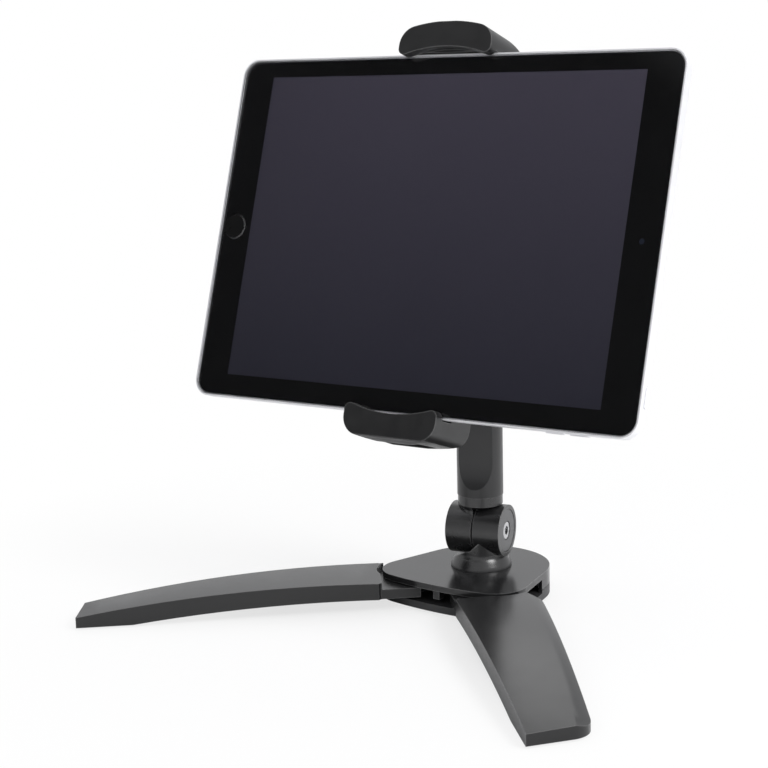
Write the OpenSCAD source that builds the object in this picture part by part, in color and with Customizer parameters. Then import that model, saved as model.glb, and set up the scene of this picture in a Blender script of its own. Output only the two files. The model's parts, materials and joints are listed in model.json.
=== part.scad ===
// Desk stand for a tablet used as a script screen: a hub with two fold-out legs, a swivel
// collar, an arm between two friction hinges, a self-centring clamp and the tablet it holds.
// Millimetres. +Z is up, the screen faces -Y and +X is to the viewer's right.
// The origin is on the ground, under the swivel axis of the arm.

/* [Rest pose] */
// Angle each leg is turned out from straight ahead
leg_open = 46; // [0:1:46]
// Turn of the lower hinge about the vertical
collar_turn = 13; // [-20:1:20]
// Turn of the arm tube about its own axis
arm_turn = 19; // [-20:1:20]
// Turn of the head about the vertical
head_turn = 3.6; // [-20:0.1:20]
// How far the screen leans back from vertical
tilt_back = 18.3; // [10:0.1:25]
// Turn of the clamp about its own pivot
clamp_roll = 0.4; // [-2:0.1:2]

/* [Base hub] */
// Height of the hub's top face
hub_top_z = 14.6; // [14:0.1:16]
// Thickness of the cover's top
cover_t = 3; // [2.5:0.1:3.2]
// Radius of the rounded rear of the hub
rear_r = 34; // [32:0.5:36]
// Radius of the hub's front corners, which are centred on the leg pivots
corner_r = 16; // [15:0.5:17]
// Sideways distance of each leg pivot from the middle
pivot_x = 24; // [23:0.5:25]
// Distance of the leg pivots in front of the swivel axis
pivot_front = 23.5; // [22:0.5:25]
// How far the hub's front edge bulges past the corner circles
front_bulge = 1.8; // [1.5:0.1:2.5]
// Height of the seam between cover and bottom plate
seam_z = 6.2; // [6:0.1:6.4]
// Distance behind the swivel axis where the rear skirt starts
skirt_y = 2.5; // [0:0.5:6]

/* [Legs] */
// Length of a leg from its pivot line to the tip
leg_length = 166; // [150:1:180]
// Half the gap between the closed legs
leg_gap = 0.9; // [0.6:0.1:2]
// Width of the flat top at the tip
leg_top_tip_w = 23; // [20:0.5:25]
// Width of the sloping outer facet, seen from above
leg_facet_w = 6.4; // [5:0.1:7]
// Slope of the outer facet
leg_facet_angle = 24; // [20:1:40]
// Highest point of the leg's arched top
leg_crown_z = 15.2; // [15:0.1:16]
// Height of the top at the tip
leg_tip_z = 6.2; // [6:0.1:7]
// Highest point of the leg's arched underside
leg_arch_z = 6.7; // [6.5:0.1:6.8]
// Height of the tongue's underside
tongue_low_z = 6.4; // [6.4:0.1:6.6]
// Height of the tongue's top
tongue_high_z = 11.2; // [10.8:0.1:11.3]

/* [Hinges and arm] */
// Height of the lower hinge axis
lower_axis_z = 33.3; // [32:0.1:34]
// Height of the upper hinge axis
upper_axis_z = 169.3; // [140:0.1:200]
// Radius of each hinge drum
drum_r = 12.8; // [12.5:0.1:13.2]
// Half the length of a hinge, from the middle to an end face
drum_half = 14; // [13.5:0.1:15]
// Radius of the round neck and of the arm
arm_r = 11.4; // [11:0.1:11.6]
// Distance of the arm's front and back flats from its axis
arm_flat = 7.5; // [7.5:0.1:9]
// Radius of the flared rim of the swivel collar
rim_r = 15.1; // [14.5:0.1:16]

/* [Clamp] */
// Width of each jaw
jaw_w = 50; // [46:1:56]
// Reach of the jaw past the tablet's edge
jaw_reach = 13.2; // [12.5:0.1:14]
// Distance of the clamp's rear face from the upper hinge axis
clamp_rear_z = 25.3; // [25.3:0.1:25.6]
// Half the width of the clamp housing
clamp_half_w = 26; // [26:0.5:28]
// Half the height of the clamp housing
clamp_half_h = 48; // [46:1:50]
// Number of teeth on the pinion
pinion_teeth = 18; // [18:1:18]
// Distance of the glass from the upper hinge axis
glass_z = 50.1; // [50.1:0.1:50.6]

/* [Tablet] */
// Long side of the tablet
tablet_w = 240; // [220:1:250]
// Short side of the tablet
tablet_h = 169.5; // [169.5:0.5:169.5]
// Thickness of the tablet
tablet_t = 7.5; // [7.5:0.1:7.5]
// Corner radius of the tablet
tablet_r = 8.5; // [7:0.5:10]
// Width of the lit part of the display
screen_w = 203; // [190:1:205]
// Height of the lit part of the display
screen_h = 149; // [145:0.5:150]
// Distance of the display's middle above the middle of the glass
screen_y = 1.2; // [0:0.1:1.5]
// Distance of the home button from the middle of the glass
home_x = 110.7; // [109:0.1:111]

/* [Hidden] */

// Rounds
ROUND = 72;
ARCH = 720;
EPS = 0.01;

// Running gap of a shaft in its bore, on the radius
run = 0.05;

// Stack of the base
floor_z = 1;
plate_top_z = 4.6;
cover_under_z = hub_top_z - cover_t;
wall = 2.2;
boss_r = 3.4;
pilot_r = 1.25;
foot_sink = 0.5;
foot_fit = 0.1;
foot_r = 5;
base_feet_at = [[0, 0], [-13, 20], [13, 20], [-13, -29], [13, -29]];
base_screws_at = [[0, 27.5], [-24.5, 12], [24.5, 12]];
pivot_at = [pivot_x, -pivot_front];
pin_r = 3;
bush_r = 4.5;
pivot_pad_r = 9;
front_arc_y = (pow(pivot_x, 2) + pow(pivot_front, 2) - pow(pivot_front + front_bulge, 2))
    / (2 * front_bulge);
front_arc_r = front_arc_y + pivot_front + front_bulge + corner_r;
side_angle = acos((rear_r - corner_r) / norm(pivot_at)) - atan2(pivot_front, pivot_x);
front_angle = atan2(-pivot_front - front_arc_y, pivot_x);

// Legs
leg_tip_y = -pivot_front - leg_length;
leg_crown_s = 115;
leg_arch_s = 122;
leg_flat_s = 27;
leg_top_r = (pow(leg_crown_s, 2) + pow(leg_crown_z - leg_tip_z, 2)) / (2 * (leg_crown_z - leg_tip_z));
leg_under_r = (pow(leg_arch_s - leg_flat_s, 2) + pow(leg_arch_z - floor_z, 2))
    / (2 * (leg_arch_z - floor_z));
leg_facet_turn = 4.8;
leg_tip_r = 11;
leg_tip_skew = 3;
leg_root_gap = 2.1;
shoulder_r = 7.5;
shoulder_at = [34.5, -pivot_front - 24];
hub_gap = 1;
corner_gap_high = 3;
corner_gap_low = 1.3;
foot_pad = [20, 13];

// Hinges
half_gap = 0.5;
bolt_r = 2.5;
bolt_head_r = 4.25;
bolt_head_h = 5;
bolt_head_x = 8.6;
counterbore_r = 4.6;
nut_pocket_r = 5.3;
nut_pocket_x = -6;
nut_x = -11.4;
nut_h = 4;
nut_r = 4.6;
bolt_end_x = -12.4;
cap_r = 10.6;
cap_t = 1;
cap_sink = 1.2;
cap_fit = 0.12;
lower_rim = lower_axis_z - hub_top_z - 0.1;
lower_cut_r = 15.3;
lower_seam = 17.8;
neck_under_z = 13.1;
neck_r = 11.1;
waist_r = 9.3;
upper_rim = 21;
upper_cut_r = 17.5;
upper_seam = 17;
stem_r = 7.45;
spigot_r = 8.5;
spigot_h = 8;
ring_at = 4.5;
ring_h = 1.2;

// Arm
arm_low_z = lower_axis_z + lower_seam + 0.15;
arm_high_z = upper_axis_z - upper_seam - 0.15;
arm_wall_r = spigot_r + run;
arm_bore_r = 5.5;
runout_r = 28;

// Clamp, measured from the upper hinge axis towards the screen
clamp_boss_z = upper_rim + 0.3;
clamp_inner_z = clamp_rear_z + 2.2;
clamp_split_z = 37;
clamp_front_z = 41.6;
clamp_wall = 2.4;
clamp_r = 10;
clamp_boss_r = 16;
tongue_z0 = 31.5;
tongue_z1 = 36.5;
tongue_out_x = 18.8;
tongue_end_y = -34;
jaw_back_y = 56;
module_mm = 1;
pinion_r = pinion_teeth * module_mm / 2;
addendum = 0.8;
dedendum = 1.05;
pressure_angle = 20;
backlash = 0.16;
pinion_z0 = 32;
pinion_z1 = 36.3;
pinion_pin_r = 2;
rack_back_x = pinion_r + dedendum;
rack_low_y = -32;
rack_high_y = 22;
spring_x = 21.1;
spring_z = 34;
spring_r = 1.6;
spring_wire_r = 0.3;
spring_hook = 8;
spring_low_y = -39.2;
spring_high_y = 2;
peg = [3.8, 2, 2];
clamp_screws_at = [[-20, 42], [20, 42], [-20, -42], [20, -42]];

// Jaws, measured from the middle of the tablet
jaw_outer_y = tablet_h / 2 + jaw_reach;
upper_reach_more = 0.8;
lip_inner_r = 70;
lip_outer_r = 81;
lip_corner_r = 9;
lip_inner_corner_r = 3;
upper_lip_gap = 2;
lower_lip_gap = 0;
lip_z0 = glass_z + 0.6;
lip_z1 = glass_z + 5.8;
jaw_round_r = 38;
pad_t = 0.5;
pad_clear = 0.1;
channel_y = tablet_h / 2 + pad_t + pad_clear + 0.02;
channel_z0 = glass_z - tablet_t - 0.4;

// Tablet, measured from the front of the glass
glass_t = 0.8;
glass_inset = 0.8;
housing_front = -0.1;
rim_t = 0.75;
shell_t = 1.3;
back_step = 2;
bezel_t = 0.3;
ledge_t = 0.8;
display_t = 1.6;
camera_x = 109.8;
home_r = 5.7;
home_fit = 0.08;
press_gap = 0.5;
button_w = 2.2;
button_proud = 0.5;
button_len = 9.5;
power_y = -66;
volume_x = [92, 80];
edge_z = -4.2;

// ---------------------------------------------------------------- helpers

// Points of an arc, from angle a0 to angle a1
function arc(c, r, a0, a1, n) =
    [for (i = [0 : n]) c + r * [cos(a0 + (a1 - a0) * i / n), sin(a0 + (a1 - a0) * i / n)]];

function mirrored(points) = [for (i = [len(points) - 1 : -1 : 0]) [-points[i][0], points[i][1]]];

// A cylinder along X, from x0 to x1
module bar_x(x0, x1, r) {
    translate([x0, 0, 0]) rotate([0, 90, 0]) cylinder(r = r, h = x1 - x0, $fn = ROUND);
}

// A cylinder along Z, from z0 to z1
module post(x, y, z0, z1, r) {
    translate([x, y, z0]) cylinder(r = r, h = z1 - z0, $fn = ROUND);
}

// A flat ring along Z
module ring(r_in, r_out, z0, z1) {
    difference() {
        post(0, 0, z0, z1, r_out);
        post(0, 0, z0 - 1, z1 + 1, r_in);
    }
}

// A rounded rectangle centred on the origin
module rounded_slab(w, h, r, z0, z1) {
    translate([0, 0, z0]) linear_extrude(z1 - z0) difference() {
        square([w, h], center = true);
        for (sx = [-1, 1], sy = [-1, 1]) scale_corner(sx, sy, w, h, r);
    }
}

// The waste of one rounded corner
module scale_corner(sx, sy, w, h, r) {
    translate([sx * (w / 2 - r), sy * (h / 2 - r)]) difference() {
        translate([sx * r / 2 + sx * 0.5, sy * r / 2 + sy * 0.5]) square(r + 1, center = true);
        circle(r = r, $fn = ROUND);
    }
}

// A bar with round ends along X, centred on the origin
module pill(length, w, z0, z1) {
    translate([0, 0, z0]) linear_extrude(z1 - z0) {
        square([length - w, w], center = true);
        for (s = [-1, 1]) translate([s * (length - w) / 2, 0]) circle(r = w / 2, $fn = ROUND);
    }
}

// Frames of the moving groups
module on_collar() { translate([0, 0, lower_axis_z]) rotate([0, 0, collar_turn]) children(); }
module on_arm() { rotate([0, 0, arm_turn]) children(); }
module on_head() { translate([0, 0, upper_axis_z]) rotate([0, 0, head_turn]) children(); }
module on_tilt() { on_head() rotate([90 - tilt_back, 0, 0]) children(); }
module on_clamp() { on_tilt() rotate([0, 0, clamp_roll]) children(); }
module on_tablet() { on_clamp() translate([0, 0, glass_z]) children(); }
module right_leg() { translate(pivot_at) rotate([0, 0, leg_open]) translate(-pivot_at) children(); }
module left_leg() { mirror([1, 0, 0]) right_leg() children(); }

// ---------------------------------------------------------------- base hub

// Outline of the hub, grown outwards by g
module hub_outline(g = 0) {
    right = concat(
        arc([0, front_arc_y], front_arc_r + g, -90, front_angle, 8),
        arc(pivot_at, corner_r + g, front_angle, side_angle, 24),
        arc([0, 0], rear_r + g, side_angle, 90, 24)
    );
    polygon(concat(right, mirrored(right)));
}

module hub_slab(z0, z1, g = 0) { translate([0, 0, z0]) linear_extrude(z1 - z0) hub_outline(g); }

// The part of the hub's outline that carries the rear skirt
module rear_band(z0, z1) {
    intersection() {
        difference() {
            hub_slab(z0, z1);
            hub_slab(z0 - 1, z1 + 1, -wall);
        }
        translate([-2 * rear_r, skirt_y, z0 - 1]) cube([4 * rear_r, 2 * rear_r, z1 - z0 + 2]);
    }
}

module base_cover() {
    color("#2b2b2c") difference() {
        union() {
            hub_slab(cover_under_z, hub_top_z);
            rear_band(seam_z + 0.3, cover_under_z + EPS);
            post(0, 0, cover_under_z - 2, cover_under_z + EPS, 13);
            for (p = base_screws_at) post(p[0], p[1], seam_z, cover_under_z + EPS, boss_r);
            for (s = [-1, 1]) post(s * pivot_x, -pivot_front, cover_under_z - 0.2, cover_under_z + EPS, pivot_pad_r);
            translate([-1.85, -38.6, seam_z + 0.4]) cube([3.7, 4, cover_under_z - seam_z]);
        }
        post(0, 0, cover_under_z - 3, hub_top_z + 1, stem_r + run);
        post(0, 0, hub_top_z - 0.8, hub_top_z + 1, 13.1);
        for (p = base_screws_at) post(p[0], p[1], seam_z - 1, cover_under_z, pilot_r);
        for (s = [-1, 1]) post(s * pivot_x, -pivot_front, cover_under_z - 1, cover_under_z + 1.6, pin_r + run);
    }
}

module base_bottom_plate() {
    color("#262627") difference() {
        union() {
            hub_slab(floor_z, plate_top_z);
            rear_band(plate_top_z - EPS, seam_z);
            for (p = base_screws_at) post(p[0], p[1], plate_top_z - EPS, seam_z - 0.1, boss_r);
            for (s = [-1, 1]) post(s * pivot_x, -pivot_front, plate_top_z - EPS, 5.7, pivot_pad_r);
        }
        for (p = base_screws_at) {
            post(p[0], p[1], 0, seam_z + 1, 1.6);
            post(p[0], p[1], 0, 3.4, 3);
        }
        for (s = [-1, 1]) {
            post(s * pivot_x, -pivot_front, 0, seam_z + 1, pin_r + run);
            post(s * pivot_x, -pivot_front, 0, 3.2, 5);
        }
        for (p = base_feet_at) post(p[0], p[1], 0, floor_z + foot_sink, foot_r + foot_fit);
    }
}

module base_feet() {
    color("#1b1b1b") for (p = base_feet_at) post(p[0], p[1], 0, floor_z + foot_sink - 0.05, foot_r);
}

// A countersunk-free cap screw along +Z, with its head at the bottom
module cap_screw(head_r, head_h, shank_r, shank_h, hex) {
    difference() {
        union() {
            cylinder(r = head_r, h = head_h, $fn = ROUND);
            cylinder(r = shank_r, h = head_h + shank_h, $fn = ROUND);
        }
        translate([0, 0, -EPS]) cylinder(r = hex / sqrt(3), h = head_h * 0.55, $fn = 6);
    }
}

module base_screws() {
    color("#8d8f92") for (p = base_screws_at)
        translate([p[0], p[1], 1.4]) cap_screw(2.75, 2, 1.2, 6.6, 2);
}

module leg_pivot_pins() {
    color("#8d8f92") for (s = [-1, 1])
        translate([s * pivot_x, -pivot_front, 1.3]) cap_screw(4.7, 1.9, pin_r, 9.6, 3);
}

module leg_friction_washers() {
    color("#c9c6b8") for (s = [-1, 1])
        translate([s * pivot_x, -pivot_front, 0]) ring(pin_r + 0.1, 8.4, 5.72, tongue_low_z - 0.02);
}

module swivel_ring() { color("#3a3a3a") ring(stem_r + 0.1, 13, hub_top_z - 0.78, hub_top_z + 0.08); }

module swivel_wave_washer() { color("#a9abad") ring(stem_r + 0.1, 10.5, 9.1, cover_under_z - 2.02); }

// ---------------------------------------------------------------- legs

// Closed right leg seen from above: slim tip, rounded shoulder beside the hub, round tongue
module leg_plan() {
    polygon(concat(
        [[leg_root_gap, 0], [leg_root_gap, -pivot_front - 19.5], [leg_gap, -pivot_front - 20.5], [leg_gap, leg_tip_y]],
        arc([leg_gap + leg_top_tip_w + leg_facet_w - leg_tip_r, leg_tip_y + leg_tip_skew + leg_tip_r],
            leg_tip_r, -78, -leg_facet_turn, 12),
        arc(shoulder_at, shoulder_r, -leg_facet_turn, 80, 10),
        arc(pivot_at, corner_r, -22, 90, 16)
    ));
}

// Space between the arched top and the arched underside, along the closed leg
module leg_side() {
    difference() {
        translate([-10, leg_tip_y + leg_crown_s, leg_crown_z - leg_top_r])
            rotate([0, 90, 0]) cylinder(r = leg_top_r, h = 70, $fn = ARCH);
        translate([-20, leg_tip_y + leg_arch_s, leg_arch_z - leg_under_r])
            rotate([0, 90, 0]) cylinder(r = leg_under_r, h = 90, $fn = ARCH);
        translate([-100, leg_tip_y - 100, floor_z - 2 * leg_top_r]) cube([300, 400, 2 * leg_top_r]);
    }
}

// Everything under the sloping outer facet
module leg_facet() {
    translate([leg_gap + leg_top_tip_w + leg_crown_s * tan(leg_facet_turn), leg_tip_y + leg_crown_s, leg_crown_z])
        rotate([0, 0, -leg_facet_turn]) rotate([0, leg_facet_angle, 0])
            translate([-60, 0, -leg_top_r]) rotate([0, 90, 0]) cylinder(r = leg_top_r, h = 120, $fn = ARCH);
}

// What the hub takes up beside the leg's body as the leg folds, seen from the closed leg
module hub_sweep(z0, z1, corner_gap) {
    translate([0, 0, z0]) linear_extrude(z1 - z0) polygon(concat(
        [[-5, 0], [-5, -pivot_front - front_bulge - corner_r - hub_gap]],
        arc([0, front_arc_y], front_arc_r + hub_gap, -89.9, front_angle, 8),
        [[pivot_x + 4, -pivot_front], [pivot_x + 4, 0]]
    ));
    post(pivot_x, -pivot_front, z0, z1, corner_r + corner_gap);
}

module leg_shape() {
    difference() {
        intersection() {
            translate([0, 0, -1]) linear_extrude(30) leg_plan();
            leg_side();
            leg_facet();
        }
        hub_sweep(tongue_high_z, 30, corner_gap_high);
        hub_sweep(-1, tongue_low_z, corner_gap_low);
        difference() {
            translate([0, -pivot_front, 0]) cube([60, 60, 30]);
            post(pivot_x, -pivot_front, -1, 31, 13.5);
        }
        post(pivot_x, -pivot_front, -1, 31, bush_r);
        translate([leg_gap + 13, leg_tip_y + 14, floor_z - 1])
            rounded_slab(foot_pad[0] + 2 * foot_fit, foot_pad[1] + 2 * foot_fit, 2, 0, 1 + foot_sink);
    }
}

module leg_bushing_shape() {
    translate([pivot_x, -pivot_front, 0]) ring(pin_r + run, bush_r - 0.02, tongue_low_z + 0.02, tongue_high_z - 0.02);
}

module leg_foot_shape() {
    translate([leg_gap + 13, leg_tip_y + 14, 0])
        rounded_slab(foot_pad[0], foot_pad[1], 2, 0, floor_z + foot_sink - 0.05);
}

module leg_right() { color("#303031") right_leg() leg_shape(); }
module leg_left() { color("#303031") left_leg() leg_shape(); }
module leg_right_bushing() { color("#b08d4a") right_leg() leg_bushing_shape(); }
module leg_left_bushing() { color("#b08d4a") left_leg() leg_bushing_shape(); }
module leg_right_foot() { color("#1b1b1b") right_leg() leg_foot_shape(); }
module leg_left_foot() { color("#1b1b1b") left_leg() leg_foot_shape(); }

// ---------------------------------------------------------------- friction hinge

// The hinge half with the flared rim, rim downwards: drum on +X, stem below the rim
module elbow(rim, cut_r, stem) {
    difference() {
        union() {
            difference() {
                rotate_extrude($fn = ROUND) polygon(concat(
                    [[0, 0], [0, -rim], [rim_r, -rim], [rim_r, -rim + 0.9]],
                    arc([rim_r + 1.4, -rim + 7.4], 4.1, 222, 180, 5),
                    [[12.4, 0]]
                ));
                rotate([0, 90, 0]) rotate_extrude($fn = ROUND)
                    polygon([[0, -40], [cut_r, -40], [cut_r, -1], [drum_r - 0.3, 4], [0, 4]]);
            }
            bar_x(half_gap, drum_half, drum_r);
            translate([0, 0, -rim - stem]) cylinder(r = stem_r, h = stem + 1.5, $fn = ROUND);
        }
        bar_x(-1, drum_half + 1, bolt_r + run);
        bar_x(bolt_head_x, drum_half + 1, counterbore_r);
        bar_x(drum_half - cap_sink, drum_half + 1, cap_r + cap_fit);
        translate([0, 0, -rim - stem - 1]) cylinder(r = bolt_r + run, h = 9, $fn = ROUND);
    }
}

// The hinge half with the neck, neck upwards: drum on -X, spigot above the seam
module neck(seam) {
    difference() {
        union() {
            difference() {
                rotate_extrude($fn = ROUND) polygon([
                    [0, 0], [waist_r, 0], [waist_r, neck_under_z - 2.2], [neck_r, neck_under_z], [neck_r, seam], [0, seam]
                ]);
                translate([-half_gap, -20, -1]) cube([40, 40, neck_under_z + 1]);
            }
            bar_x(-drum_half, -half_gap, drum_r);
            translate([0, 0, seam - 0.6]) cylinder(r = spigot_r, h = spigot_h + 0.6, $fn = ROUND);
        }
        bar_x(-drum_half - 1, 1, bolt_r + run);
        bar_x(-drum_half - 1, nut_pocket_x, nut_pocket_r);
        bar_x(-drum_half - 1, -drum_half + cap_sink, cap_r + cap_fit);
        translate([0, 0, seam + ring_at - 0.1]) ring(spigot_r - 1.1, spigot_r + 2, 0, ring_h + 0.2);
    }
}

module hinge_bolt() {
    difference() {
        union() {
            bar_x(bolt_end_x, bolt_head_x + 1, bolt_r);
            bar_x(bolt_head_x + EPS, bolt_head_x + bolt_head_h, bolt_head_r);
        }
        translate([bolt_head_x + bolt_head_h - 2.6, 0, 0]) rotate([0, 90, 0])
            cylinder(r = 4 / sqrt(3), h = 4, $fn = 6);
    }
}

module hinge_nut() {
    difference() {
        translate([nut_x, 0, 0]) rotate([0, 90, 0]) cylinder(r = nut_r, h = nut_h, $fn = 6);
        bar_x(nut_x - 1, nut_x + nut_h + 1, bolt_r + 0.02);
    }
}

module hinge_spring_washers() {
    for (x = [nut_x + nut_h + 0.05, nut_x + nut_h + 0.7]) difference() {
        bar_x(x, x + 0.6, 4.9);
        bar_x(x - 1, x + 2, bolt_r + 0.06);
    }
}

module hinge_friction_disc() {
    difference() {
        bar_x(-half_gap + 0.02, half_gap - 0.02, 11.9);
        bar_x(-2, 2, bolt_r + 0.06);
    }
}

// End cap with a hole for the key when open is true
module hinge_cap(open) {
    x0 = drum_half - cap_sink + 0.02;
    difference() {
        bar_x(x0, x0 + cap_t, cap_r);
        if (open) bar_x(x0 - 1, x0 + 3, counterbore_r);
    }
}

// ---------------------------------------------------------------- lower hinge and swivel

module swivel_collar() { color("#2e2e2f") on_collar() elbow(lower_rim, lower_cut_r, 6); }

module swivel_retainer() {
    color("#8d8f92") ring(bolt_r + 0.06, 11, hub_top_z - 6.9, hub_top_z - 5.95);
}

module swivel_screw() {
    color("#8d8f92") translate([0, 0, 5]) cap_screw(bolt_head_r, 2.65, bolt_r, 6, 3);
}

module lower_hinge_bolt() { color("#c4c6c8") on_collar() hinge_bolt(); }
module lower_hinge_nut() { color("#8d8f92") on_collar() hinge_nut(); }
module lower_hinge_spring_washers() { color("#a9abad") on_collar() hinge_spring_washers(); }
module lower_hinge_cap_right() { color("#5c5d5f") on_collar() hinge_cap(true); }
module lower_neck() { color("#2e2e2f") on_collar() neck(lower_seam); }
module lower_hinge_friction_disc() { color("#454545") on_collar() hinge_friction_disc(); }
module lower_hinge_cap_left() { color("#2e2e2f") on_collar() mirror([1, 0, 0]) hinge_cap(false); }

// ---------------------------------------------------------------- arm

// The waste of one flat of the arm, whose ends run out in a large radius
module arm_flat_waste(d) {
    z0 = arm_low_z + 4 + runout(d);
    z1 = arm_high_z - 4 - runout(d);
    difference() {
        translate([-20, -40, z0 - runout(d) - 2]) cube([40, 40 - d, z1 - z0 + 2 * runout(d) + 4]);
        for (z = [z0, z1]) translate([-21, -d - runout_r, z]) mirror([0, 0, z == z0 ? 0 : 1])
            arm_runout();
    }
}

// Length over which a flat at distance d runs out to the arm's surface
function runout(d) = sqrt(pow(runout_r, 2) - pow(runout_r - (arm_r - d), 2));

// Everything outside the run-out radius, below the end of the flat
module arm_runout() {
    difference() {
        translate([0, 0, -60]) cube([42, 2 * runout_r, 60]);
        translate([-1, 0, 0]) rotate([0, 90, 0]) cylinder(r = runout_r, h = 44, $fn = ARCH);
    }
}

module arm_tube() {
    color("#323233") on_arm() difference() {
        post(0, 0, arm_low_z, arm_high_z, arm_r);
        post(0, 0, arm_low_z - 1, arm_low_z + spigot_h + 1, arm_wall_r);
        post(0, 0, arm_high_z - spigot_h - 1, arm_high_z + 1, arm_wall_r);
        post(0, 0, arm_low_z - 1, arm_high_z + 1, arm_bore_r);
        for (s = [0, 180]) rotate([0, 0, s]) arm_flat_waste(arm_flat);
        for (z = [arm_low_z - 0.15 + ring_at, arm_high_z + 0.15 - ring_at - ring_h])
            post(0, 0, z - 0.1, z + ring_h + 0.1, spigot_r + 0.7);
    }
}

module twist_ring(z) { ring(spigot_r - 1, spigot_r + 0.6, z, z + ring_h); }
module lower_twist_ring() { color("#a9abad") twist_ring(arm_low_z - 0.15 + ring_at); }
module upper_twist_ring() { color("#a9abad") twist_ring(arm_high_z + 0.15 - ring_at - ring_h); }

// ---------------------------------------------------------------- upper hinge

module upper_neck() { color("#2e2e2f") on_head() rotate([180, 0, 0]) neck(upper_seam); }
module upper_hinge_friction_disc() { color("#454545") on_head() hinge_friction_disc(); }
module upper_hinge_cap_left() { color("#2e2e2f") on_head() mirror([1, 0, 0]) hinge_cap(false); }
module head_elbow() {
    color("#2e2e2f") on_tilt() rotate([180, 0, 0]) elbow(upper_rim, upper_cut_r, clamp_inner_z + 0.1 - upper_rim);
}
module upper_hinge_bolt() { color("#c4c6c8") on_tilt() hinge_bolt(); }
module upper_hinge_nut() { color("#8d8f92") on_tilt() hinge_nut(); }
module upper_hinge_spring_washers() { color("#a9abad") on_tilt() hinge_spring_washers(); }
module upper_hinge_cap_right() { color("#5c5d5f") on_tilt() hinge_cap(true); }
module clamp_retainer() {
    color("#8d8f92") on_tilt() ring(bolt_r + 0.06, 11, clamp_inner_z + 0.15, clamp_inner_z + 1.15);
}
module clamp_pivot_screw() {
    color("#8d8f92") on_tilt() translate([0, 0, clamp_inner_z + 3.8]) rotate([180, 0, 0])
        cap_screw(bolt_head_r, 2.6, bolt_r, 6, 3);
}

// ---------------------------------------------------------------- clamp housing

module clamp_slab(inset, z0, z1) {
    rounded_slab(2 * (clamp_half_w - inset), 2 * (clamp_half_h - inset), clamp_r - inset, z0, z1);
}

module clamp_rear_shell() {
    color("#2c2c2d") on_clamp() difference() {
        union() {
            difference() {
                clamp_slab(0, clamp_rear_z, clamp_split_z);
                clamp_slab(clamp_wall, clamp_inner_z, clamp_split_z + 1);
            }
            post(0, 0, clamp_boss_z, clamp_inner_z, clamp_boss_r);
            for (p = clamp_screws_at) post(p[0], p[1], clamp_inner_z - EPS, clamp_split_z - 0.1, 2.9);
        }
        post(0, 0, clamp_boss_z - 1, clamp_inner_z + 1, stem_r + run);
        for (p = clamp_screws_at) post(p[0], p[1], clamp_inner_z + 1, clamp_split_z + 1, pilot_r);
        for (s = [0, 180]) rotate([0, 0, s]) translate([-tongue_out_x - 0.25, 0, tongue_z0 - 0.25])
            cube([tongue_out_x - rack_back_x + 4.5, clamp_half_h + 1, 20]);
    }
}

module clamp_front_cover() {
    color("#2c2c2d") on_clamp() difference() {
        union() {
            difference() {
                clamp_slab(0, clamp_split_z + 0.05, clamp_front_z);
                clamp_slab(clamp_wall, clamp_split_z - 1, clamp_front_z - 2);
                for (s = [0, 180]) rotate([0, 0, s]) translate([-tongue_out_x - 0.25, clamp_half_h - 4, 30])
                    cube([tongue_out_x - rack_back_x + 4.5, 6, clamp_split_z - 30 + 0.2]);
            }
            for (p = clamp_screws_at) post(p[0], p[1], clamp_split_z + 0.05, clamp_front_z - 1, 3.4);
            post(0, 0, pinion_z1 + 0.2, clamp_front_z - 1, 5);
            post(0, 0, pinion_z0 - 0.1, clamp_front_z - 1, pinion_pin_r);
        }
        for (p = clamp_screws_at) {
            post(p[0], p[1], clamp_split_z - 1, clamp_front_z + 1, 1.3);
            post(p[0], p[1], clamp_front_z - 2, clamp_front_z + 1, 2.6);
        }
        for (x = [-13, 13]) translate([x, 0, 0]) pad_slab(0.1, clamp_front_z - 0.5, clamp_front_z + 1);
    }
}

module pad_slab(grow, z0, z1) { rounded_slab(10 + 2 * grow, 60 + 2 * grow, 4 + grow, z0, z1); }

module clamp_back_pads() {
    color("#1c1c1c") on_clamp() for (x = [-13, 13])
        translate([x, 0, 0]) pad_slab(0, clamp_front_z - 0.48, glass_z - tablet_t - 0.05);
}

module clamp_screws() {
    color("#8d8f92") on_clamp() for (p = clamp_screws_at)
        translate([p[0], p[1], clamp_front_z - 0.2]) rotate([180, 0, 0]) cap_screw(2.4, 1.7, 1.2, 6, 1.5);
}

// A close-wound extension spring along Y, drawn as a closed tube with a straight end each way
module spring(x, y0, y1, z) {
    translate([x, y0, z]) rotate([-90, 0, 0]) difference() {
        union() {
            cylinder(r = spring_wire_r, h = y1 - y0, $fn = ROUND);
            translate([0, 0, spring_hook]) cylinder(r = spring_r, h = y1 - y0 - 2 * spring_hook, $fn = ROUND);
        }
        translate([0, 0, spring_hook + 2 * spring_wire_r]) ring(
            spring_wire_r, spring_r - 2 * spring_wire_r, 0, y1 - y0 - 2 * spring_hook - 4 * spring_wire_r);
    }
}

module clamp_springs() {
    color("#b9bbbd") on_clamp() for (s = [0, 180])
        rotate([0, 0, s]) spring(-spring_x, spring_low_y, spring_high_y, spring_z);
}

// ---------------------------------------------------------------- rack and pinion

// Involute of the base circle at radius r: the angle it has turned through, in degrees
function base_r() = pinion_r * cos(pressure_angle);
function involute(r) = let (t = sqrt(pow(r / base_r(), 2) - 1)) t * 180 / PI - atan(t);

// Half the angle of a tooth at radius r
function half_tooth(r) =
    (PI * module_mm / 2 - backlash) / 2 / pinion_r * 180 / PI + involute(pinion_r) - involute(r);

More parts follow.
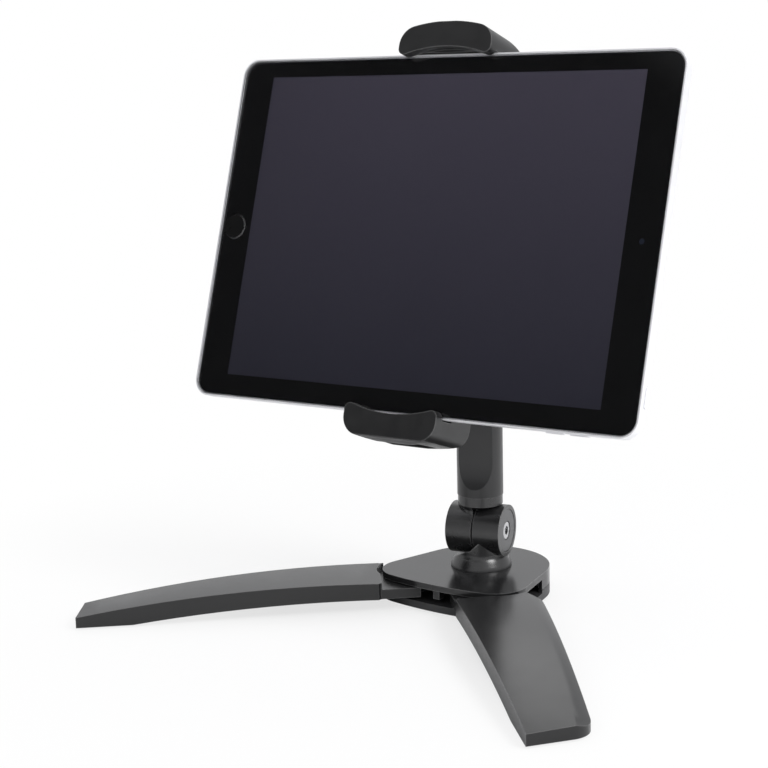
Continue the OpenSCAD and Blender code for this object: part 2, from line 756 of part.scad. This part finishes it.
// One tooth, pointing along angle a
function tooth(a) =
    let (rs = [for (i = [0 : 4]) base_r() + (pinion_r + addendum - base_r()) * i / 4],
         root = pinion_r - dedendum)
    concat(
        [root * [cos(a - half_tooth(base_r())), sin(a - half_tooth(base_r()))]],
        [for (r = rs) r * [cos(a - half_tooth(r)), sin(a - half_tooth(r))]],
        [for (i = [4 : -1 : 0]) rs[i] * [cos(a + half_tooth(rs[i])), sin(a + half_tooth(rs[i]))]],
        [root * [cos(a + half_tooth(base_r())), sin(a + half_tooth(base_r()))]]
    );

module clamp_pinion() {
    color("#d8d4c4") on_clamp() difference() {
        translate([0, 0, pinion_z0]) linear_extrude(pinion_z1 - pinion_z0)
            polygon([for (i = [0 : pinion_teeth - 1], p = tooth(360 * i / pinion_teeth)) p]);
        post(0, 0, pinion_z0 - 1, pinion_z1 + 1, pinion_pin_r + run);
    }
}

// Teeth of the rack at x = -pinion_r, pointing towards the pinion; a gap faces the pinion's tooth
module rack_teeth() {
    pitch = PI * module_mm;
    half = (pitch / 2 - backlash) / 2;
    count = floor((rack_high_y - rack_low_y) / pitch);
    translate([0, 0, pinion_z0 + 0.1]) linear_extrude(pinion_z1 - pinion_z0 - 0.2)
        for (i = [-floor(-rack_low_y / pitch) : count - floor(-rack_low_y / pitch)])
            translate([-pinion_r, (i + 0.5) * pitch])
                polygon([
                    [-dedendum - 0.2, -half - dedendum * tan(pressure_angle)],
                    [addendum, -half + addendum * tan(pressure_angle)],
                    [addendum, half - addendum * tan(pressure_angle)],
                    [-dedendum - 0.2, half + dedendum * tan(pressure_angle)]
                ]);
}

// ---------------------------------------------------------------- jaws

// Outer outline of a jaw, from the clamp to the crown of the lip
module jaw_outline(low_y, outer_y) {
    crown = [0, outer_y - lip_outer_r];
    corner_x = jaw_w / 2 - lip_corner_r;
    corner_y = crown[1] + sqrt(pow(lip_outer_r - lip_corner_r, 2) - pow(corner_x, 2));
    tangent = atan2(corner_y - crown[1], corner_x);
    right = concat(
        [[jaw_w / 2, low_y]],
        arc([corner_x, corner_y], lip_corner_r, 0, tangent, 8),
        arc(crown, lip_outer_r, tangent + 1.5, 90, 6)
    );
    polygon(concat(right, mirrored(right)));
}

// What is cut from the lip on the tablet's side, leaving its inner corners rounded
module lip_waste(lip_gap) {
    arch_y = tablet_h / 2 + lip_gap - lip_inner_r;
    corner_x = jaw_w / 2 - lip_inner_corner_r;
    corner_y = arch_y + sqrt(pow(lip_inner_r + lip_inner_corner_r, 2) - pow(corner_x, 2));
    turn = atan2(corner_y - arch_y, corner_x);
    right = concat(
        [[jaw_w / 2 + 1, 0], [jaw_w / 2 + 1, corner_y + 0.2], [jaw_w / 2, corner_y + 0.2]],
        arc([corner_x, corner_y], lip_inner_corner_r, 0, turn - 180, 10),
        arc([0, arch_y], lip_inner_r, turn + 1.5, 90, 6)
    );
    polygon(concat(right, mirrored(right)));
}

// outer_y: furthest reach, lip_gap: from the tablet's edge to the crown of the lip's arch,
// round_back: how far behind the glass the outer face crests
module jaw_shape(outer_y, lip_gap, round_back) {
    difference() {
        union() {
            intersection() {
                translate([0, 0, clamp_rear_z]) linear_extrude(lip_z1 - clamp_rear_z) jaw_outline(jaw_back_y, outer_y);
                union() {
                    translate([-40, outer_y + 0.3 - jaw_round_r, glass_z - round_back]) rotate([0, 90, 0])
                        cylinder(r = jaw_round_r, h = 80, $fn = 144);
                    translate([-40, jaw_back_y - 1, clamp_rear_z - 1]) cube([80, 20, 30]);
                }
            }
            translate([-tongue_out_x, tongue_end_y, tongue_z0])
                cube([tongue_out_x - rack_back_x - 0.15, jaw_back_y - tongue_end_y + 1, tongue_z1 - tongue_z0]);
            translate([-spring_x - 1.2, spring_high_y + 0.1, spring_z - peg[2] / 2]) cube(peg);
            rack_teeth();
        }
        // Channel for the tablet and its rubber liner
        translate([-40, 0, channel_z0]) cube([80, channel_y, lip_z0 - channel_z0]);
        // Arched inner edge of the lip
        translate([0, 0, lip_z0 - 0.1]) linear_extrude(lip_z1 - lip_z0 + 1) lip_waste(lip_gap);
        // Pocket in the outer face
        translate([-14, outer_y - 4, 34]) cube([28, 10, 15.5]);
        // Hollow of the back
        translate([-jaw_w / 2 + 2.5, jaw_back_y - 1, clamp_rear_z + 2.2])
            cube([jaw_w - 5, 26, tongue_z0 - clamp_rear_z - 2.4]);
        // Clearance past the other jaw's tongue
        translate([rack_back_x - 1.5, jaw_back_y - 1, clamp_rear_z + 2.2])
            cube([jaw_w / 2 - rack_back_x - 1, 26, channel_z0 - clamp_rear_z - 4.4]);
    }
}

module jaw_pad_shape() {
    translate([-21, channel_y - pad_t, channel_z0 + 0.4]) cube([42, pad_t - 0.02, lip_z0 - channel_z0 - 0.8]);
}

module upper_jaw() { color("#2a2a2b") on_clamp() jaw_shape(jaw_outer_y + upper_reach_more, upper_lip_gap, 0); }
module lower_jaw() { color("#2a2a2b") on_clamp() rotate([0, 0, 180]) jaw_shape(jaw_outer_y, lower_lip_gap, 8); }
module upper_jaw_pad() { color("#181818") on_clamp() jaw_pad_shape(); }
module lower_jaw_pad() { color("#181818") on_clamp() rotate([0, 0, 180]) jaw_pad_shape(); }

// ---------------------------------------------------------------- tablet

module tablet_slab(inset, z0, z1) {
    rounded_slab(tablet_w - 2 * inset, tablet_h - 2 * inset, tablet_r - inset, z0, z1);
}

module home_hole(z0, z1, r) { post(-home_x, 0, z0, z1, r); }

// Places of the side buttons: a pill whose outer end is on local +Z
module at_power() { translate([tablet_w / 2, power_y, edge_z]) rotate([0, 90, 0]) rotate([0, 0, 90]) children(); }
module at_volume(i) { translate([volume_x[i], -tablet_h / 2, edge_z]) rotate([90, 0, 0]) children(); }

module tablet_housing() {
    color("#c9cbce") on_tablet() difference() {
        union() {
            tablet_slab(0, -tablet_t + back_step, housing_front);
            tablet_slab(back_step * 0.75, -tablet_t, -tablet_t + back_step + EPS);
        }
        tablet_slab(rim_t, -glass_t + 0.1, 1);
        tablet_slab(shell_t, -tablet_t + back_step + ledge_t, 0);
        tablet_slab(shell_t + back_step, -tablet_t + shell_t, 1);
        at_power() pill(button_len + 0.3, button_w + 0.3, -5, 5);
        for (i = [0, 1]) at_volume(i) pill(button_len + 0.3, button_w + 0.3, -5, 5);
        translate([100, 70, -tablet_t - 1]) cylinder(r = 3.6, h = 4, $fn = ROUND);
    }
}

module tablet_glass() {
    color("#101014") on_tablet() difference() {
        tablet_slab(glass_inset, -glass_t + 0.12, 0);
        home_hole(-2, 1, home_r + home_fit);
    }
}

module tablet_bezel_frame() {
    color("#0c0c0d") on_tablet() difference() {
        tablet_slab(shell_t + 0.2, -glass_t - bezel_t + 0.1, -glass_t + 0.1);
        translate([-screen_w / 2, screen_y - screen_h / 2, -3]) cube([screen_w, screen_h, 4]);
        home_hole(-3, 1, home_r + home_fit + 0.4);
        post(camera_x, 0, -3, 1, 1.3);
    }
}

module tablet_display() {
    color("#20232b") on_tablet() translate([-screen_w / 2 - 1, screen_y - screen_h / 2 - 1, -glass_t - bezel_t - display_t + 0.05])
        cube([screen_w + 2, screen_h + 2, display_t]);
}

module tablet_battery() {
    color("#3c3f44") on_tablet() for (x = [-88, -2]) translate([x, -66, -tablet_t + shell_t + 0.05])
        cube([82, 132, 2.6]);
}

module tablet_board() {
    color("#1f5a3c") on_tablet() translate([84, -50, -tablet_t + shell_t + 0.05]) cube([12, 110, 1.6]);
}

module front_camera() { color("#2a3038") on_tablet() post(camera_x, 0, -3.2, -glass_t - bezel_t + 0.05, 2); }

module rear_camera() {
    color("#15161a") on_tablet() translate([100, 70, -tablet_t]) cylinder(r = 3.5, h = 3, $fn = ROUND);
}

module home_button() {
    color("#141416") on_tablet() home_hole(-glass_t - bezel_t - 0.6, -0.05, home_r);
}

module side_button() { pill(button_len, button_w, -1.6, button_proud); }
module power_button() { color("#b9bbbe") on_tablet() at_power() side_button(); }
module volume_up_button() { color("#b9bbbe") on_tablet() at_volume(0) side_button(); }
module volume_down_button() { color("#b9bbbe") on_tablet() at_volume(1) side_button(); }

// ---------------------------------------------------------------- nodes

base_cover();
base_bottom_plate();
base_feet();
base_screws();
leg_pivot_pins();
leg_friction_washers();
swivel_ring();
swivel_wave_washer();
leg_left();
leg_left_bushing();
leg_left_foot();
leg_right();
leg_right_bushing();
leg_right_foot();
swivel_collar();
swivel_retainer();
swivel_screw();
lower_hinge_bolt();
lower_hinge_nut();
lower_hinge_spring_washers();
lower_hinge_cap_right();
lower_neck();
lower_hinge_friction_disc();
lower_hinge_cap_left();
arm_tube();
lower_twist_ring();
upper_twist_ring();
upper_neck();
upper_hinge_friction_disc();
upper_hinge_cap_left();
head_elbow();
upper_hinge_bolt();
upper_hinge_nut();
upper_hinge_spring_washers();
upper_hinge_cap_right();
clamp_retainer();
clamp_pivot_screw();
clamp_rear_shell();
clamp_front_cover();
clamp_screws();
clamp_back_pads();
clamp_springs();
clamp_pinion();
upper_jaw();
upper_jaw_pad();
lower_jaw();
lower_jaw_pad();
tablet_housing();
tablet_glass();
tablet_bezel_frame();
tablet_display();
tablet_battery();
tablet_board();
front_camera();
rear_camera();
home_button();
power_button();
volume_up_button();
volume_down_button();
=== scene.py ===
"""Desk stand with folding legs, friction-hinged arm and sprung clamp holding a tablet."""
import json
import math

import bmesh
import bpy
from mathutils import Matrix, Vector


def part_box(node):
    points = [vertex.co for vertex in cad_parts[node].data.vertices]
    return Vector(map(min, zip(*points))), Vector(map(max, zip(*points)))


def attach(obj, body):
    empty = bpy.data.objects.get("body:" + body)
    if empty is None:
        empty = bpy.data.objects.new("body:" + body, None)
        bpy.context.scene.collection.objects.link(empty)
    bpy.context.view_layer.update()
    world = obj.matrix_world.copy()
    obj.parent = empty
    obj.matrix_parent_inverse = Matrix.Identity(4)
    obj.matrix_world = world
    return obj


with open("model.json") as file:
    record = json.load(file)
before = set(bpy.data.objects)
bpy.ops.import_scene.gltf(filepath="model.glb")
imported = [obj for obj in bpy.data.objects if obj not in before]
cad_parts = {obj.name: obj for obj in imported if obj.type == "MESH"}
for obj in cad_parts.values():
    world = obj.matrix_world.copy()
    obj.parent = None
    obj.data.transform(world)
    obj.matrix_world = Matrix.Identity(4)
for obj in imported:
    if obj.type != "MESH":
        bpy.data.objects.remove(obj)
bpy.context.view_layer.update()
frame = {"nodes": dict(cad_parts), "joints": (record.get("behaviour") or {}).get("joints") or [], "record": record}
NODES = frame["nodes"]
JOINTS = {j["name"]: j for j in frame["joints"]}
MM = 0.001


# ------------------------------------------------------------------ node helpers

def new_material(name):
    """An empty node material and shortcuts to its tree."""
    m = bpy.data.materials.new(name)
    m.use_nodes = True
    tree = m.node_tree
    tree.nodes.clear()
    return m, tree


def add(tree, kind, **inputs):
    """A shader node with its inputs set by name; a value may be a socket."""
    n = tree.nodes.new(kind)
    for key, value in inputs.items():
        by_number = key[0] == "i" and key[1:].isdigit()
        socket = n.inputs[int(key[1:])] if by_number else n.inputs[key.replace("_", " ")]
        if isinstance(value, bpy.types.NodeSocket):
            tree.links.new(value, socket)
        else:
            socket.default_value = value
    return n


def multiply(tree, a, b):
    n = add(tree, "ShaderNodeMath", i0=a, i1=b)
    n.operation = "MULTIPLY"
    return n.outputs[0]


def dot(tree, a, b):
    n = add(tree, "ShaderNodeVectorMath", i0=a, i1=b)
    n.operation = "DOT_PRODUCT"
    return n.outputs["Value"]


def mix_shaders(tree, fac, a, b):
    return add(tree, "ShaderNodeMixShader", i0=fac, i1=a, i2=b).outputs[0]


def finish_material(tree, shader):
    add(tree, "ShaderNodeOutputMaterial", i0=shader)


def object_coords(tree):
    return tree.nodes.new("ShaderNodeTexCoord").outputs["Object"]


def noise(tree, coords, scale, detail=3.0, rough=0.5):
    return add(tree, "ShaderNodeTexNoise", Vector=coords, Scale=scale, Detail=detail,
               Roughness=rough).outputs["Fac"]


def remap(tree, value, lo, hi, out_lo, out_hi):
    n = add(tree, "ShaderNodeMapRange", Value=value, From_Min=lo, From_Max=hi, To_Min=out_lo, To_Max=out_hi)
    n.clamp = True
    return n.outputs["Result"]


def mix_colour(tree, fac, a, b):
    n = tree.nodes.new("ShaderNodeMix")
    n.data_type = "RGBA"
    for socket, value in ((n.inputs[0], fac), (n.inputs[6], a), (n.inputs[7], b)):
        if isinstance(value, bpy.types.NodeSocket):
            tree.links.new(value, socket)
        else:
            socket.default_value = value
    return n.outputs[2]


def edge_highlight_mask(tree, radius):
    """1 on an outer edge, 0 on a flat face."""
    bevel = tree.nodes.new("ShaderNodeBevel")
    bevel.samples = 6
    bevel.inputs["Radius"].default_value = radius
    normal = tree.nodes.new("ShaderNodeNewGeometry").outputs["Normal"]
    return remap(tree, dot(tree, bevel.outputs[0], normal), 0.97, 0.75, 0.0, 1.0)


def grey(v, blue=1.04):
    return (v, v, v * blue, 1.0)


def surface(name, base, rough, metallic=0.0, specular=0.5, grain=3200.0, bump=0.12, depth=0.00004,
            blotch=0.03, rough_var=0.03, edge=0.0, edge_radius=0.0007, coat=0.0, coat_rough=0.1):
    """A moulded, coated or machined surface: fine grain, slow colour and gloss variation, and a painted highlight
    that lightens outer edges.
    """
    m, t = new_material(name)
    co = object_coords(t)
    slow = noise(t, co, 38.0, 4.0)
    streak = noise(t, co, 140.0, 2.0)
    dark = tuple(c * (1 - blotch) for c in base[:3]) + (1.0,)
    light = tuple(min(1.0, c * (1 + blotch)) for c in base[:3]) + (1.0,)
    colour = mix_colour(t, remap(t, slow, 0.3, 0.7, 0.0, 1.0), dark, light)
    # Painted highlight: outer edges get a base colour lighter by edge, in place of the light a rounded edge
    # catches.
    if edge:
        painted_edge_highlight = tuple(min(1.0, c + edge) for c in base[:3]) + (1.0,)
        colour = mix_colour(t, multiply(t, edge_highlight_mask(t, edge_radius), 0.85), colour, painted_edge_highlight)
    roughness = remap(t, streak, 0.3, 0.7, rough - rough_var, rough + rough_var)
    fine = noise(t, co, grain, 2.0, 0.6)
    bump_node = add(t, "ShaderNodeBump", Strength=bump, Distance=depth, Height=fine)
    bsdf = add(t, "ShaderNodeBsdfPrincipled", Base_Color=colour, Roughness=roughness, Metallic=metallic,
               Specular_IOR_Level=specular, Normal=bump_node.outputs[0], Coat_Weight=coat,
               Coat_Roughness=coat_rough)
    finish_material(t, bsdf.outputs[0])
    return m


def brushed(name, base, rough, axis=2):
    """Turned or drawn metal with fine lines along one axis."""
    m, t = new_material(name)
    co = object_coords(t)
    stretch = [900.0, 900.0, 900.0]
    stretch[axis] = 60.0
    mapping = add(t, "ShaderNodeMapping", Vector=co, Scale=tuple(stretch))
    lines = noise(t, mapping.outputs[0], 1.0, 3.0)
    slow = noise(t, co, 120.0, 3.0)
    colour = mix_colour(t, slow, tuple(c * 0.85 for c in base[:3]) + (1,), base)
    bump_node = add(t, "ShaderNodeBump", Strength=0.2, Distance=0.00003, Height=lines)
    bsdf = add(t, "ShaderNodeBsdfPrincipled", Base_Color=colour, Metallic=1.0,
               Roughness=remap(t, lines, 0.3, 0.7, rough - 0.05, rough + 0.08), Normal=bump_node.outputs[0])
    finish_material(t, bsdf.outputs[0])
    return m


def clear_glass(name):
    """Thin polished glass over the display: a mirror by Fresnel, otherwise see-through."""
    m, t = new_material(name)
    co = object_coords(t)
    smear = noise(t, co, 22.0, 4.0)
    fresnel = add(t, "ShaderNodeFresnel", IOR=1.5)
    gloss = add(t, "ShaderNodeBsdfGlossy", Color=(1, 1, 1, 1),
                Roughness=remap(t, smear, 0.35, 0.75, 0.015, 0.06))
    clear = add(t, "ShaderNodeBsdfTransparent", Color=(0.97, 0.97, 0.975, 1))
    finish_material(t, mix_shaders(t, fresnel.outputs[0], clear.outputs[0], gloss.outputs[0]))
    return m


def display_material(name, low, high):
    """A switched-off display: dark blue grey, with a painted light gradient that makes it a little lighter towards
    its top edge.
    """
    m, t = new_material(name)
    co = object_coords(t)
    z = add(t, "ShaderNodeSeparateXYZ", Vector=co).outputs["Z"]
    # Painted light: by height, the colour runs from the darker bottom colour to the lighter top colour.
    up = remap(t, z, low, high, 0.0, 1.0)
    colour = mix_colour(t, up, (0.06, 0.06, 0.083, 1), (0.16, 0.146, 0.196, 1))
    cells = noise(t, co, 5200.0, 1.0)
    colour = mix_colour(t, multiply(t, cells, 0.12), colour, (0.15, 0.14, 0.18, 1))
    bsdf = add(t, "ShaderNodeBsdfPrincipled", Base_Color=colour,
               Roughness=remap(t, cells, 0.2, 0.8, 0.5, 0.62), Specular_IOR_Level=0.1)
    finish_material(t, bsdf.outputs[0])
    return m


screen_lo, screen_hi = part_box("tablet_display")
# Each edge value below is a painted highlight that lightens that part's outer edges; edge_radius is its width.
MATS = {
    "cover": surface("cover_black", grey(0.016), 0.18, bump=0.04, rough_var=0.008, edge=0.16,
                     edge_radius=0.0009),
    "bottom_plate": surface("plate_black", grey(0.03), 0.45, edge=0.03),
    "legs": surface("leg_black", grey(0.012), 0.25, grain=2600.0, bump=0.05, rough_var=0.012, edge=0.14,
                    edge_radius=0.0007),
    "hinges": surface("hinge_black", grey(0.012), 0.28, specular=0.75, bump=0.06, rough_var=0.015,
                      edge=0.14, edge_radius=0.0006),
    "arm": surface("arm_black", grey(0.018), 0.34, bump=0.08, edge=0.05),
    "clamp_plastic": surface("clamp_black", grey(0.015), 0.45, bump=0.2),
    "jaws": surface("jaw_black", grey(0.011), 0.36, bump=0.16, edge=0.14, edge_radius=0.001),
    "rubber": surface("rubber_black", grey(0.013, 1.0), 0.75, grain=1500.0, bump=0.35, depth=0.0001),
    "steel": brushed("bright_steel", (0.62, 0.62, 0.63, 1), 0.24),
    "cap_grey": surface("cap_grey", grey(0.062), 0.34, bump=0.06, edge=0.14, edge_radius=0.0004),
    "friction": surface("friction_lining", grey(0.05), 0.7, bump=0.4, depth=0.0001),
    "acetal": surface("acetal_cream", (0.6, 0.57, 0.48, 1), 0.45),
    "bronze": surface("sintered_bronze", (0.5, 0.33, 0.14, 1), 0.42, metallic=1.0, bump=0.4),
    "tablet_shell": surface("shell_aluminium", (0.92, 0.92, 0.94, 1), 0.4, metallic=0.6, grain=5200.0,
                            bump=0.06, blotch=0.015),
    "tablet_glass": clear_glass("front_glass"),
    "bezel": surface("bezel_print", grey(0.0075, 1.05), 0.5, specular=0.15),
    "display": display_material("display_off", screen_lo.z, screen_hi.z),
    "button_glass": surface("home_glass", grey(0.004), 0.3, specular=0.2, blotch=0.05),
    "battery": surface("battery_foil", grey(0.05), 0.4),
    "board": surface("board_green", (0.01, 0.12, 0.05, 1), 0.35),
    "lens": surface("lens_dark", (0.05, 0.06, 0.09, 1), 0.1, coat=1.0),
}
SLOT_OF = {s["node"]: s["material_slot"] for s in frame["record"]["subparts"]}

# Rounding of each node's edges in millimetres, and the least angle that counts as an edge
ROUNDING = {
    "base_cover": 0.9, "base_bottom_plate": 0.5, "leg_left": 0.6, "leg_right": 0.6,
    "swivel_collar": 0.35, "lower_neck": 0.35, "upper_neck": 0.35, "head_elbow": 0.35, "arm_tube": 0.3,
    "upper_jaw": 0.8, "lower_jaw": 0.8, "clamp_rear_shell": 0.9, "clamp_front_cover": 0.7,
    "lower_hinge_cap_left": 0.2, "lower_hinge_cap_right": 0.2, "lower_hinge_bolt": 0.3,
    "upper_hinge_cap_left": 0.2, "upper_hinge_cap_right": 0.2, "upper_hinge_bolt": 0.3,
    "tablet_housing": 0.34, "tablet_glass": 0.05, "home_button": 0.15,
    "power_button": 0.3, "volume_up_button": 0.3, "volume_down_button": 0.3,
}
DEFAULT_ROUNDING = 0.15
EDGE_ANGLE = math.radians(28)


def dress(name, node):
    """Material, welded skin, rounded edges and smooth shading for one CAD node."""
    slot = SLOT_OF[name]
    node.data.materials.clear()
    node.data.materials.append(MATS[slot])
    for poly in node.data.polygons:
        poly.use_smooth = True
        poly.material_index = 0
    weld = node.modifiers.new("weld", "WELD")
    weld.merge_threshold = 2e-6
    bevel = node.modifiers.new("edge_rounding", "BEVEL")
    bevel.limit_method = "ANGLE"
    bevel.angle_limit = EDGE_ANGLE
    bevel.width = ROUNDING.get(name, DEFAULT_ROUNDING) * MM
    bevel.segments = 2
    bevel.use_clamp_overlap = True
    bevel.harden_normals = False
    weighted = node.modifiers.new("shading", "WEIGHTED_NORMAL")
    weighted.keep_sharp = True
    weighted.weight = 60


for node_name, node_object in NODES.items():
    dress(node_name, node_object)


# ------------------------------------------------------------------ small parts of the tablet

# How far an inlay stands proud, and its depth behind the glass on the tablet's edge, in millimetres
SILL = 0.03
EDGE_DEPTH = 4.1
SCREEN_RIGHT = Vector(JOINTS["tablet_slide_out"]["axis"]).normalized()
SCREEN_UP = Vector(JOINTS["upper_jaw_slide"]["axis"]).normalized()
SCREEN_OUT = SCREEN_RIGHT.cross(SCREEN_UP)


def reach(axis):
    """Least and greatest reach of the tablet's shell along an axis."""
    shell = NODES["tablet_housing"]
    along = [(shell.matrix_world @ v.co).dot(axis) for v in shell.data.vertices]
    return min(along), max(along)


LEFT, RIGHT = reach(SCREEN_RIGHT)
LOW, HIGH = reach(SCREEN_UP)
BACK, FRONT = reach(SCREEN_OUT)
MIDDLE = SCREEN_RIGHT * (LEFT + RIGHT) / 2 + SCREEN_UP * (LOW + HIGH) / 2 + SCREEN_OUT * FRONT


def pill_points(length, width, count=10):
    """Outline of a pill lying along X."""
    half, r = (length - width) / 2, width / 2
    points = []
    for centre, start in ((half, -90), (-half, 90)):
        for k in range(count + 1):
            a = math.radians(start + 180 * k / count)
            points.append((centre + r * math.cos(a), r * math.sin(a)))
    return points


def inlay(name, shapes, origin, across, out, material, lip, is_ring=False):
    """Inlays with a raised lip, each given as (x, y, length, width) in millimetres on a face.

    A ring is open in the middle; the others are dished.
    """
    profile = ((0, 0), (0.1 * lip, 1), (lip, 1), (1.1 * lip, 0) if is_ring else (1.4 * lip, 0.3))
    along = across.normalized()
    side = out.cross(along).normalized()
    mesh = bmesh.new()
    for x, y, length, width in shapes:
        rings = []
        for shrink, level in profile:
            outline = pill_points(length - 2 * shrink, width - 2 * shrink)
            places = [along * (x + u) + side * (y + v) + out * SILL * level for u, v in outline]
            rings.append([mesh.verts.new(origin + place * MM) for place in places])
        pairs = list(zip(rings, rings[1:])) + ([(rings[-1], rings[0])] if is_ring else [])
        for lower, upper in pairs:
            for k in range(len(lower)):
                n = (k + 1) % len(lower)
                mesh.faces.new((lower[k], lower[n], upper[n], upper[k]))
        if not is_ring:
            mesh.faces.new(rings[-1])
            mesh.faces.new(list(reversed(rings[0])))
    data = bpy.data.meshes.new(name)
    mesh.to_mesh(data)
    mesh.free()
    data.materials.append(material)
    piece = bpy.data.objects.new(name, data)
    bpy.context.scene.collection.objects.link(piece)
    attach(piece, "tablet")
    return piece


# Painted shade: the charging port, speaker holes and rear microphone are near-black inlays on the surface, in
# place of the shade inside the openings.
PAINTED_HOLE_SHADE = surface("hole_painted_shade", grey(0.006), 0.6, grain=4200.0, bump=0.2)
LENS_RING = surface("lens_ring", (0.6, 0.6, 0.62, 1), 0.25, metallic=1.0, grain=4200.0, bump=0.06)
# Speaker holes on each side of the port: first one, spacing and count; lens and microphone on the back
FIRST_HOLE, HOLE_STEP, HOLE_COUNT = 14, 2.4, 10
LENS_AT, MICROPHONE_AT = (100, -70), (90, -70)
left_edge = MIDDLE + SCREEN_RIGHT * (LEFT - RIGHT) / 2 - SCREEN_OUT * EDGE_DEPTH * MM
inlay("charging_port", [(0, 0, 8.6, 2.4)], left_edge, SCREEN_UP, -SCREEN_RIGHT, PAINTED_HOLE_SHADE, 0.4)
holes = [(s * (FIRST_HOLE + HOLE_STEP * k), 0, 1.3, 1.2) for s in (-1, 1) for k in range(HOLE_COUNT)]
inlay("speaker_holes", holes, left_edge, SCREEN_UP, -SCREEN_RIGHT, PAINTED_HOLE_SHADE, 0.2)
back_face = MIDDLE + SCREEN_OUT * (BACK - FRONT)
inlay("rear_lens_ring", [(*LENS_AT, 8.6, 8.5)], back_face, SCREEN_RIGHT, -SCREEN_OUT, LENS_RING, 0.65,
      is_ring=True)
inlay("rear_microphone", [(*MICROPHONE_AT, 1.1, 1.0)], back_face, SCREEN_RIGHT, -SCREEN_OUT, PAINTED_HOLE_SHADE, 0.2)

# ------------------------------------------------------------------ stage

def floor_material():
    """White table that melts into the white surround away from the stand."""
    m, t = new_material("floor_white")
    co = object_coords(t)
    shade = mix_colour(t, noise(t, co, 300.0, 3.0), (0.84, 0.84, 0.84, 1), (0.87, 0.87, 0.87, 1))
    diffuse = add(t, "ShaderNodeBsdfDiffuse", Color=shade)
    glow = add(t, "ShaderNodeEmission", Color=(1, 1, 1, 1), Strength=1.0)
    distance = t.nodes.new("ShaderNodeVectorMath")
    distance.operation = "LENGTH"
    t.links.new(co, distance.inputs[0])
    far = remap(t, distance.outputs["Value"], 0.1, 0.34, 0.72, 1.0)
    seen = t.nodes.new("ShaderNodeLightPath").outputs["Is Camera Ray"]
    finish_material(t, mix_shaders(t, multiply(t, far, seen), diffuse.outputs[0], glow.outputs[0]))
    return m


FLOOR_HALF = 40.0
floor_mesh = bpy.data.meshes.new("floor")
corners = [(x * FLOOR_HALF, y * FLOOR_HALF, 0) for x, y in ((-1, -1), (1, -1), (1, 1), (-1, 1))]
floor_mesh.from_pydata(corners, [], [(0, 1, 2, 3)])
floor = bpy.data.objects.new("floor", floor_mesh)
bpy.context.scene.collection.objects.link(floor)
floor_mesh.materials.append(floor_material())

# Direction the glass mirrors towards the camera, kept dark so the glass looks black
GLASS_MIRROR = Vector((-0.507, -0.797, 0.326)).normalized()


def studio_world():
    """White surround, dark in front on the left; the camera itself sees plain white."""
    world = bpy.data.worlds.new("studio")
    bpy.context.scene.world = world
    world.use_nodes = True
    t = world.node_tree
    t.nodes.clear()
    direction = t.nodes.new("ShaderNodeTexCoord").outputs["Generated"]
    mask = remap(t, dot(t, direction, GLASS_MIRROR), 0.925, 0.972, 0.0, 1.0)
    colour = mix_colour(t, mask, (0.95, 0.955, 0.97, 1), (0.012, 0.012, 0.013, 1))
    back = add(t, "ShaderNodeBackground", Color=colour, Strength=0.85)
    white = add(t, "ShaderNodeBackground", Color=(1, 1, 1, 1), Strength=1.0)
    seen = t.nodes.new("ShaderNodeLightPath").outputs["Is Camera Ray"]
    add(t, "ShaderNodeOutputWorld", i0=mix_shaders(t, seen, back.outputs[0], white.outputs[0]))


studio_world()


def area_light(name, location, target, size, power):
    data = bpy.data.lights.new(name, "AREA")
    data.shape = "DISK"
    data.size = size
    data.energy = power
    lamp = bpy.data.objects.new(name, data)
    lamp.location = location
    lamp.rotation_mode = "QUATERNION"
    lamp.rotation_quaternion = (Vector(target) - Vector(location)).to_track_quat("-Z", "Y")
    bpy.context.scene.collection.objects.link(lamp)


area_light("key", (1.5, -0.1, 1.4), (0, 0, 0.1), 0.9, 22)
area_light("fill", (-0.9, 1.2, 1.3), (0, 0, 0.1), 1.2, 3)

# ------------------------------------------------------------------ camera

CAMERA_AT = Vector((0.4785, -0.691, 0.2678))
CAMERA_LENS = 81.75
CAMERA_TURN, CAMERA_DROP, CAMERA_ROLL = (math.radians(v) for v in (37.87, 10.823, -1.387))
level_right = Vector((math.cos(CAMERA_TURN), math.sin(CAMERA_TURN), 0))
level_forward = Vector((-math.sin(CAMERA_TURN), math.cos(CAMERA_TURN), 0))
forward = level_forward * math.cos(CAMERA_DROP) - Vector((0, 0, math.sin(CAMERA_DROP)))
level_up = level_right.cross(forward)
right = level_right * math.cos(CAMERA_ROLL) + level_up * math.sin(CAMERA_ROLL)
up = level_up * math.cos(CAMERA_ROLL) - level_right * math.sin(CAMERA_ROLL)
camera_data = bpy.data.cameras.new("camera")
camera_data.sensor_width = 36.0
camera_data.lens = CAMERA_LENS
camera_data.clip_start = 0.01
camera_data.clip_end = 200.0
camera = bpy.data.objects.new("camera", camera_data)
bpy.context.scene.collection.objects.link(camera)
basis = Matrix((right, up, -forward)).transposed().to_4x4()
camera.matrix_world = Matrix.Translation(CAMERA_AT) @ basis
bpy.context.scene.camera = camera
bpy.context.scene.view_settings.view_transform = "Standard"
